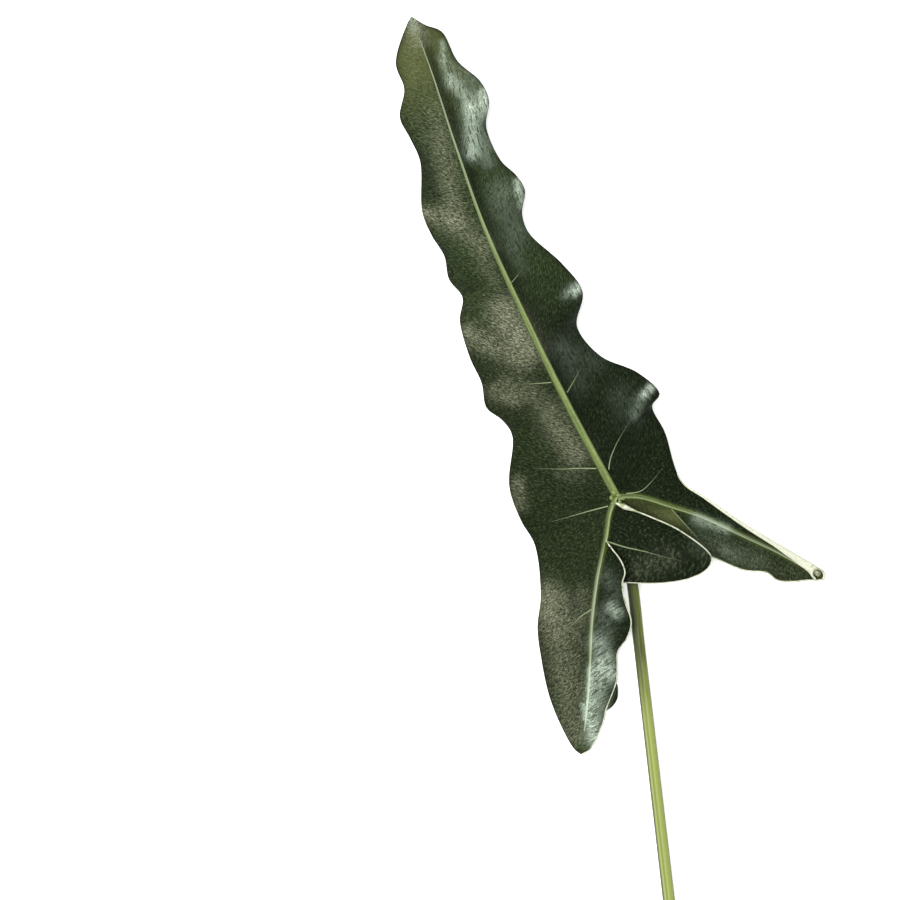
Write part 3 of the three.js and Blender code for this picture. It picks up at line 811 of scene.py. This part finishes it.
def makeStalk():
    material, sheet = newMaterial("stalkGreen")
    weave = sheet.attribute("weave", "Vector")
    turn, isRib, ripe, brightLine, flank, grey, sheen, cut = map(sheet.attribute, Lofts.traits)
    streaks = sheet.noise(sheet.drawnOut(weave, stalk["streaksDrawn"]), *stalk["streaks"])
    freckles = sheet.noise(weave, *stalk["freckles"])
    paleShare = (streaks * 0.6 + freckles * 0.4).between(0.36, 0.6)
    ribTone = sheet.mixColour(stalk["shade"], stalk["pale"], paleShare)
    ribTone = sheet.mixColour(ribTone, stalk["line"], brightLine * (0.3 + 0.6 * freckles))
    ribTone = sheet.mixColour(ribTone, stalk["grey"], grey * (0.35 + 0.9 * freckles))
    # painted shade down one side of each rib
    ribTone = sheet.mixColour(ribTone, stalk["flank"], flank * (0.45 + 0.5 * freckles))
    # painted highlights on the ribs where the cool patches cross them
    ribTone = sheet.mixColour(ribTone, skin["paintedHighlightCool"], sheen * (0.35 + 0.6 * freckles))
    # stripes across the petiole, with a painted dark edge as shade and a painted highlight line
    across = sheet.node("ShaderNodeValToRGB", {"stops": stalk["stripesAndPaintedLight"]},
                        {"Fac": turn + (streaks - 0.5) * 0.06}, "Color")
    lineShare = turn.between(0.4, 0.75) * streaks.between(0.3, 0.6)
    green = sheet.mixColour(stalk["shadedDeepGreen"], stalk["shadedDeepLine"], lineShare)
    # the petiole's upper part is darker, partly its own deeper green and partly painted shadow of the lobe
    # above
    tone = sheet.mixColour(green, across, (ripe + (streaks - 0.5) * 0.5).between(0.1, 0.9))
    tone = sheet.mixColour(tone, ribTone, isRib)
    tone = sheet.mixColour(tone, stalk["cutFace"], cut)
    height = streaks * 0.7 + freckles * 0.3
    bump = sheet.bump(height, stalk["reliefDepth"], stalk["reliefStrength"])
    shader = sheet.surface(tone, 0.5 + (freckles - 0.5) * 0.2,
                           {"Normal": bump, "Specular IOR Level": stalk["gloss"]})
    endMaterial(sheet, shader)
    return material


class Lofts:
    traits = ("turn", "isRib", "ripe", "line", "flank", "grey", "sheen", "cut")
    capShares = (0.97, 0.6, 0.25)  # the hoops of an end, as shares of its outline
    capGrain = 0.3

    def __init__(self):
        self.points = []
        self.faces = []
        self.weave = []
        self.values = {name: [] for name in self.traits}
        self.count = 0

    def put(self, points, weave, values):
        self.points.append(points)
        self.weave.append(weave)
        for name in self.traits:
            self.values[name].append(np.broadcast_to(values.get(name, 0.0), len(points)))
        self.count += len(points)

    # closed sections in a row, each counted anticlockwise by an eye that looks along the row
    def add(self, sections, along, around, values, cutLast=False):
        rows, sides, _ = sections.shape
        grid = self.count + np.arange(rows * sides).reshape(rows, sides)
        beside = np.roll(grid, -1, axis=1)
        quads = np.stack([grid[:-1], grid[1:], beside[1:], beside[:-1]], -1).reshape(-1, 4)
        self.faces += quads.tolist()
        weave = np.stack([np.repeat(along, sides), np.tile(around, rows), np.zeros(rows * sides)], 1)
        spread = {name: np.broadcast_to(value, (rows, sides)) for name, value in values.items()}
        self.put(sections.reshape(-1, 3), weave, {name: value.ravel() for name, value in spread.items()})
        for row in (0, -1):
            ends = {name: value[row] for name, value in spread.items()}
            self.addCap(grid[row], sections[row], row == -1, {**ends, "cut": float(cutLast and row == -1)},
                        along[row])

    def addCap(self, ring, points, last, values, along):
        sides = len(points)
        middle = points.mean(0)
        base = self.count
        for share in self.capShares:
            weave = np.stack([np.full(sides, along), np.arange(sides) * self.capGrain, np.zeros(sides)], 1)
            self.put(middle + (points - middle) * share, weave, values)
        hoops = [ring] + [base + k * sides + np.arange(sides) for k in range(len(self.capShares))]
        for outer, inner in zip(hoops, hoops[1:]):
            loop = np.stack([outer, inner, np.roll(inner, -1), np.roll(outer, -1)], 1)
            self.faces += (loop if last else loop[:, ::-1]).tolist()
        self.faces.append((hoops[-1][::-1] if last else hoops[-1]).tolist())


def sectionsAcross(leafLine, shares, outlines):
    centre = leafLine.at(shares)
    along = leafLine.directionAt(shares)
    sideways = unit(np.stack([along[:, 1], -along[:, 0], np.zeros(len(shares))], 1))
    upwards = np.cross(sideways, along)
    return centre[:, None] + outlines[..., :1] * sideways[:, None] + outlines[..., 1:] * upwards[:, None]


def nearTurn(angle, turn, reach):
    return np.exp(-((angle / math.pi - turn) / reach) ** 2)


def addRib(lofts, name):
    rib = ribs[name]
    shares = np.linspace(0, rib["end"], rib["sections"])
    widths = np.interp(shares, *np.array(rib["widths"]).T)
    fade = 1 - smoothstep(shares, stalk["ribFadeFrom"] * rib["end"], rib["end"])
    angle = np.arange(stalk["ribSides"]) / stalk["ribSides"] * 2 * math.pi
    half = blade["thickness"] / 2
    up = half + np.maximum(stalk["ridge"] * widths, stalk["leastRidge"]) * fade + stalk["overlap"]
    down = half + stalk["ribDepth"] * widths * fade + stalk["overlap"]
    sine = np.sign(np.sin(angle)) * np.abs(np.sin(angle)) ** stalk["squareness"]
    groove = 1 - stalk["groove"] * nearTurn(angle, 0.5, stalk["grooveReach"])
    x = widths[:, None] / 2 * np.cos(angle)
    y = np.where(sine > 0, up[:, None] * sine * groove, down[:, None] * sine)
    sections = sectionsAcross(line[name], shares, np.stack([x, y], -1))
    sections[..., 2] = np.maximum(sections[..., 2], 0)
    pale = np.interp(smoothstep(shares, 0.0, stalk["lineSettled"]), [0, 1], rib["pale"])
    values = {
        "isRib": 1.0,
        "line": nearTurn(angle, rib["line"], stalk["lineReach"]) * pale[:, None],
        "flank": nearTurn(angle, rib["flank"], stalk["flankReach"]) * fade[:, None],
        "grey": smoothstep(shares, *rib["grey"])[:, None],
        # painted highlights, taken from the skin's cool patches
        "sheen": patchMaskAt(sections.reshape(-1, 3), skin["cool"]).reshape(x.shape),
    }
    lofts.add(sections, shares * line[name].length, angle * stalk["grainTurn"], values)


def addPetiole(lofts):
    shares = np.linspace(0, 1, stalk["petioleSections"])
    radius = np.interp(shares, [0, 1], [stalk["petioleTop"] / 2, stalk["petioleCut"] / 2])
    angle = np.arange(stalk["petioleSides"]) / stalk["petioleSides"] * 2 * math.pi
    ridges = stalk["ridgeHeight"] * np.cos(stalk["ridges"] * angle)
    channel = stalk["channel"] * np.exp(-((angle - math.pi / 2) / stalk["channelReach"]) ** 2)
    x = radius[:, None] * np.cos(angle) * (1 + ridges)
    y = radius[:, None] * (stalk["petioleRise"] + np.sin(angle) * (1 + ridges) - channel)
    sections = sectionsAcross(line["petiole"], shares, np.stack([x, y], -1))
    sections[..., 2] = np.maximum(sections[..., 2], 0)
    ripe = smoothstep(-line["petiole"].at(shares)[:, 1], stalk["paleningFrom"], stalk["paleningTo"])
    overTop = np.where(angle > 1.5 * math.pi, 0.0, np.minimum(angle / math.pi, 1.0))
    values = {"turn": overTop, "ripe": ripe[:, None]}
    grain = angle * stalk["petioleGrainTurn"]
    lofts.add(sections, -shares * line["petiole"].length, grain, values, True)


def addLump(lofts, place, halfSizes):
    polar = np.linspace(stalk["lumpPole"], math.pi - stalk["lumpPole"], stalk["lumpRings"])[:, None]
    angle = np.arange(stalk["lumpSides"]) / stalk["lumpSides"] * 2 * math.pi
    ring = [np.sin(polar) * np.cos(angle), -np.sin(polar) * np.sin(angle), -np.cos(polar) + 0 * angle]
    sections = np.array(place) + np.stack(ring, -1) * np.array(halfSizes)
    values = {"isRib": 1.0, "line": stalk["lumpLine"]}
    lofts.add(sections, sections[:, 0, 2], angle * stalk["grainTurn"], values)


lofts = Lofts()
addPetiole(lofts)
for name in ribs:
    addRib(lofts, name)
for place, halfSizes in stalk["lumps"]:
    addLump(lofts, place, halfSizes)
stalkPiece = newPiece("stalkAndRibs", np.vstack(lofts.points), lofts.faces, makeStalk())
setAttribute(stalkPiece, "weave", np.vstack(lofts.weave))
for name, parts in lofts.values.items():
    setAttribute(stalkPiece, name, np.concatenate(parts))
dress(stalkPiece, "petiole", "petiole_and_ribs")


# Cords on the leaf: one tree lays round cords along paths, dropped on to the blade where it is given
def makeCordTree(name, drop):
    tree = bpy.data.node_groups.new(name, "GeometryNodeTree")
    sheet = NodeSheet(tree)
    sockets = [("Geometry", "NodeSocketGeometry"), ("Width", "NodeSocketFloat"),
               ("Spacing", "NodeSocketFloat"), ("Sides", "NodeSocketInt"), ("Material", "NodeSocketMaterial")]
    if drop:
        sockets += [("Blade", "NodeSocketObject"), ("Sink", "NodeSocketFloat"), ("Taper", "NodeSocketFloat")]
    for label, kind in sockets:
        tree.interface.new_socket(label, in_out="INPUT", socket_type=kind)
    tree.interface.new_socket("Geometry", in_out="OUTPUT", socket_type="NodeSocketGeometry")
    given = sheet.node("NodeGroupInput")
    girth = sheet.node("GeometryNodeInputNamedAttribute", {"data_type": "FLOAT"}, {"Name": "girth"})
    curve = sheet.node("GeometryNodeMeshToCurve", None, {"Mesh": given})
    radius = girth * given.out("Width") * 0.5
    reach = sheet.node("GeometryNodeSplineParameter", None, None, "Factor")
    if drop:
        curve = sheet.node("GeometryNodeResampleCurve", {"mode": "LENGTH"},
                           {"Curve": curve, "Length": given.out("Spacing")})
        target = sheet.node("GeometryNodeObjectInfo", None, {"Object": given.out("Blade")}, "Geometry")
        downwards = {"Target Geometry": target, "Ray Direction": (0.0, 0.0, -1.0), "Ray Length": 1.0}
        hit = sheet.node("GeometryNodeRaycast", None, downwards, "Hit Position")
        normal = hit.out("Hit Normal")
        shrink = 1 - reach * given.out("Taper")
        radius = radius * shrink
        lift = sheet.node("ShaderNodeVectorMath", {"operation": "SCALE"},
                          {0: normal, "Scale": radius * given.out("Sink") * -1})
        lifted = sheet.node("ShaderNodeVectorMath", {"operation": "ADD"}, {0: hit, 1: lift})
        curve = sheet.node("GeometryNodeSetPosition", None,
                           {"Geometry": curve, "Position": lifted, "Selection": hit.out("Is Hit")})
    curve = sheet.node("GeometryNodeStoreNamedAttribute", {"data_type": "FLOAT", "domain": "POINT"},
                       {"Geometry": curve, "Name": "reach", "Value": reach})
    profile = sheet.node("GeometryNodeCurvePrimitiveCircle", None,
                         {"Resolution": given.out("Sides"), "Radius": 1.0})
    tube = sheet.node("GeometryNodeCurveToMesh", None,
                      {"Curve": curve, "Profile Curve": profile, "Scale": radius, "Fill Caps": True})
    tube = sheet.node("GeometryNodeSetShadeSmooth", None, {"Geometry": tube})
    tube = sheet.node("GeometryNodeRealizeInstances", None, {"Geometry": tube})
    tube = sheet.node("GeometryNodeSetMaterial", None, {"Geometry": tube, "Material": given.out("Material")})
    sheet.node("NodeGroupOutput", None, {"Geometry": tube})
    return tree


def layCords(name, paths, traits, tree, values):
    points = np.vstack(paths)
    starts = np.cumsum([0] + [len(path) for path in paths])
    edges = [(k, k + 1) for start, end in zip(starts, starts[1:]) for k in range(start, end - 1)]
    mesh = bpy.data.meshes.new(name)
    mesh.from_pydata(((points + junctionAt) * mm).tolist(), edges, [])
    piece = putInScene(name, mesh)
    for trait, parts in traits.items():
        setAttribute(piece, trait, np.concatenate(parts))
    modifier = piece.modifiers.new(tree.name, "NODES")
    modifier.node_group = tree
    for item in tree.interface.items_tree:
        if item.in_out == "INPUT" and item.name in values:
            modifier[item.identifier] = values[item.name]
    depsgraph = bpy.context.evaluated_depsgraph_get()
    made = bpy.data.meshes.new_from_object(piece.evaluated_get(depsgraph), preserve_all_data_layers=True,
                                           depsgraph=depsgraph)
    piece.modifiers.remove(modifier)
    piece.data = made
    return piece


# Lateral veins, seen from above in mm from the junction, from the rib outwards: width at the rib, points
veins = {
    "width": 1.0,
    "sink": 0.45,
    "taper": 0.75,
    "near": srgb(122, 134, 98),
    "far": srgb(56, 66, 42),
    "crease": srgb(14, 18, 8),
    "creaseShadePaths": (0,),  # numbers of the paths painted dark as the shade in a crease, not pale veins
    "above": 60.0,  # mm, where the veins start before they drop on to the blade
    "pointStep": 8,  # of the smooth line's points, every eighth is kept
    "spacing": 0.5,  # mm
    "sides": 8,
    "mottle": (700.0, 3.0),
    "paths": [
        (1.3, [(-64, 120.4), (-70, 121.3), (-79, 122.4)]),
        (0.8, [(-39, 68), (-48, 67.4), (-59, 67)]),
        (0.95, [(-12, 16.5), (-22, 16.6), (-34, 16.2), (-50, 16.8)]),
        (1.05, [(-5, -6), (-15, -8.6), (-25, -11.5), (-40, -15.8)]),
        (0.95, [(-14.5, -68), (-20, -71.5), (-26, -77), (-34, -84)]),
        (0.75, [(-63.6, 127), (-61, 129.8), (-58.5, 133), (-56, 137)]),
        (0.85, [(-29.5, 62), (-26, 68), (-22, 75), (-19.5, 79.5)]),
        (0.95, [(-4.5, 16), (-3.6, 22), (0.5, 32), (7.5, 44)]),
        (1.0, [(6, 1.5), (14.5, 3), (20, 7.5), (28, 17)]),
        (1.2, [(-6, -27), (5, -30.5), (17, -33.2), (27, -36), (39, -38.8)]),
        (0.95, [(33, -7.8), (41, -16.5), (50, -26.5), (57.5, -33.5)]),
    ],
}


def makeVein():
    material, sheet = newMaterial("lateralVein")
    reach = sheet.attribute("reach")
    mottle = sheet.noise(sheet.place(), *veins["mottle"])
    tone = sheet.mixColour(veins["near"], veins["far"], (reach + (mottle - 0.5) * 0.5).between(0.25, 1.0))
    # painted shade: the crease paths are darkened almost to black
    tone = sheet.mixColour(tone, veins["crease"], sheet.attribute("crease") * (0.8 + 0.4 * mottle))
    endMaterial(sheet, sheet.surface(tone, 0.4 + (mottle - 0.5) * 0.2))
    return material


veinPaths = []
veinGirths = []
veinCreaseShade = []
for number, (girth, plan) in enumerate(veins["paths"]):
    path = LeafLine([(x, y, veins["above"]) for x, y in plan]).fine[::veins["pointStep"]]
    veinPaths.append(path)
    veinGirths.append(np.full(len(path), girth))
    veinCreaseShade.append(np.full(len(path), float(number in veins["creaseShadePaths"])))
veinValues = {"Width": mm * veins["width"], "Spacing": mm * veins["spacing"], "Sides": veins["sides"],
              "Material": makeVein(), "Blade": bladePiece, "Sink": veins["sink"], "Taper": veins["taper"]}
veinPiece = layCords("lateralVeins", veinPaths, {"girth": veinGirths, "crease": veinCreaseShade},
                     makeCordTree("veinsOnBlade", True), veinValues)
dress(veinPiece, "petiole")


# Rim: the bead along every free margin, pale on the inner margins and thickest where the sinus opens
rim = {
    "width": 1.0,
    "pale": srgb(206, 208, 188),
    "green": srgb(150, 160, 122),
    "dark": srgb(36, 38, 28),
    "girths": {"leftMargin": 0.5, "rightMargin": 0.5, "flap": 0.95, "frontFold": 0.95, "rightInner": 1.15,
               "rollEnd": 1.5},
    "darkMargins": ("leftMargin", "rightMargin"),
    "paleFrom": (-25, -5),  # mm below the junction, between which the left margin turns pale
    "paleTo": (75, 95),  # and dark again
    "foldStart": [(-6.2, -25.5, 20.8), (-5.4, -27.6, 22.2), (-4.5, -29.2, 23.2)],
    "sinusGirth": 2.2,  # beside the petiole, where the flap's margin leaves the junction
    "sinusLength": 9.0,
    "startGirth": 0.5,  # where the front fold's bead leaves the rib
    "leastStep": 1e-4,  # mm, under which two points of a margin count as one
    "sides": 8,
    "mottle": (300.0, 4.0),
    "coreShares": (0.9, 0.982),  # of the right rib, where the inmost turn of the roll lies
    "coreGirth": 1.1,  # its width over the radius of the roll
    "coreSteps": 14,
    "coreDark": 0.3,
}


def makeRim():
    material, sheet = newMaterial("paleRim")
    mottle = sheet.noise(sheet.place(), *rim["mottle"])
    tone = sheet.mixColour(rim["green"], rim["pale"], mottle.between(0.3, 0.6))
    tone = sheet.mixColour(tone, rim["dark"], sheet.attribute("dark") * (0.7 + 0.5 * mottle))
    endMaterial(sheet, sheet.surface(tone, 0.45 + (mottle - 0.5) * 0.2))
    return material


rimPaths = []
rimGirths = []
rimDark = []
for name, indices in margins.items():
    path = layer.points[indices]
    steps = np.linalg.norm(np.diff(path, axis=0), axis=1)
    kept = np.concatenate([[True], steps > rim["leastStep"]])
    path = path[kept]
    girth = np.full(len(path), rim["girths"][name])
    dark = np.full(len(path), float(name in rim["darkMargins"]))
    if name == "flap":
        fromSinus = np.linalg.norm(path - line["flap"].at([0.0]), axis=1)
        girth += rim["sinusGirth"] * np.exp(-(fromSinus / rim["sinusLength"] * 2) ** 2)
    if name == "rightMargin":
        dark *= 1 - layer.rolled[indices][kept]
    if name == "leftMargin":
        dark *= 1 - smoothstep(-path[:, 1], *rim["paleFrom"]) + smoothstep(-path[:, 1], *rim["paleTo"])
    if name == "frontFold":
        path = np.vstack([rim["foldStart"], path])
        growing = np.linspace(rim["startGirth"], girth[0], len(rim["foldStart"]))
        girth = np.concatenate([growing, girth])
        dark = np.zeros(len(path))
    rimPaths.append(path)
    rimGirths.append(girth)
    rimDark.append(dark)
# the inmost turn of the roll, which shows in its open end
coreShares = np.linspace(*rim["coreShares"], rim["coreSteps"])
core = rollAlong(coreShares)
coreRadius = core["radius"][:, None]
marginShare = line["rightMargin"].shareOf(marginTurn)
coreFoot = line["rightMargin"].at(marginShare + (1 - marginShare) * coreShares)
rimPaths.append(coreFoot + coreRadius * (core["upward"] - core["outward"]))
rimGirths.append(rim["coreGirth"] * core["radius"])
rimDark.append(np.full(len(coreShares), rim["coreDark"]))
rimValues = {"Width": mm * rim["width"], "Sides": rim["sides"], "Material": makeRim()}
rimPiece = layCords("paleRim", rimPaths, {"girth": rimGirths, "dark": rimDark},
                    makeCordTree("rimOnMargin", False), rimValues)
dress(rimPiece, "blade")


# Floor, lights and the camera straight above
stage = {
    "floor": srgb(246, 246, 244),
    "floorGlow": 0.6,
    "floorSide": 30.0,
    "floorDrop": 0.0006,
    "floorCloud": 3.0,
    "keyPower": 4.5,
    "keyFrom": (-0.37, 0.07, 0.93),
    "keyAngle": 50.0,
    "keyTint": (1.0, 0.99, 0.95),
    "coolPower": 6.0,
    "coolFrom": (0.4, 0.5, 1.6),
    "coolSize": 0.4,
    "coolTint": (0.86, 0.95, 1.0),
    "world": 0.03,
    "photoCentre": (-0.09658, 0.02804),
    "photoWidth": 0.54,
    "photoPlane": 0.012,
    "distance": 4.0,
    "sensor": 36.0,
    "clipEnd": 100.0,
}

floorMaterial, floorSheet = newMaterial("paleFloor")
floorCloud = floorSheet.noise(floorSheet.place(), stage["floorCloud"])
floorTone = floorSheet.mixColour(stage["floor"], white, floorCloud * 0.2)
floorGlow = {"Specular IOR Level": 0.1, "Emission Color": white, "Emission Strength": stage["floorGlow"]}
endMaterial(floorSheet, floorSheet.surface(floorTone, 0.9, floorGlow))
floorMesh = bpy.data.meshes.new("floor")
side = stage["floorSide"]
floorCorners = [(-side, -side), (side, -side), (side, side), (-side, side)]
floorMesh.from_pydata([(x, y, -stage["floorDrop"]) for x, y in floorCorners], [], [(0, 1, 2, 3)])
floorMesh.materials.append(floorMaterial)
floor = putInScene("floor", floorMesh)


def addLight(name, kind, source, power, tint):
    light = bpy.data.lights.new(name, kind)
    light.energy = power
    light.color = tint
    lamp = putInScene(name, light)
    lamp.location = source
    lamp.rotation_mode = "QUATERNION"
    lamp.rotation_quaternion = (-Vector(source)).to_track_quat("-Z", "Y")
    return light


key = addLight("keySky", "SUN", stage["keyFrom"], stage["keyPower"], stage["keyTint"])
key.angle = math.radians(stage["keyAngle"])
cool = addLight("coolWindow", "AREA", stage["coolFrom"], stage["coolPower"], stage["coolTint"])
cool.size = stage["coolSize"]
world = bpy.data.worlds.new("paleRoom")
world.use_nodes = True
background = world.node_tree.nodes["Background"]
background.inputs["Color"].default_value = white
background.inputs["Strength"].default_value = stage["world"]
scene.world = world
scene.view_settings.view_transform = "Standard"

cameraData = bpy.data.cameras.new("overheadCamera")
cameraData.sensor_width = stage["sensor"]
cameraData.lens = stage["sensor"] * (stage["distance"] - stage["photoPlane"]) / stage["photoWidth"]
cameraData.clip_end = stage["clipEnd"]
camera = putInScene("overheadCamera", cameraData)
camera.location = (*stage["photoCentre"], stage["distance"])
scene.camera = camera
print("stage set")

bpy.context.view_layer.update()
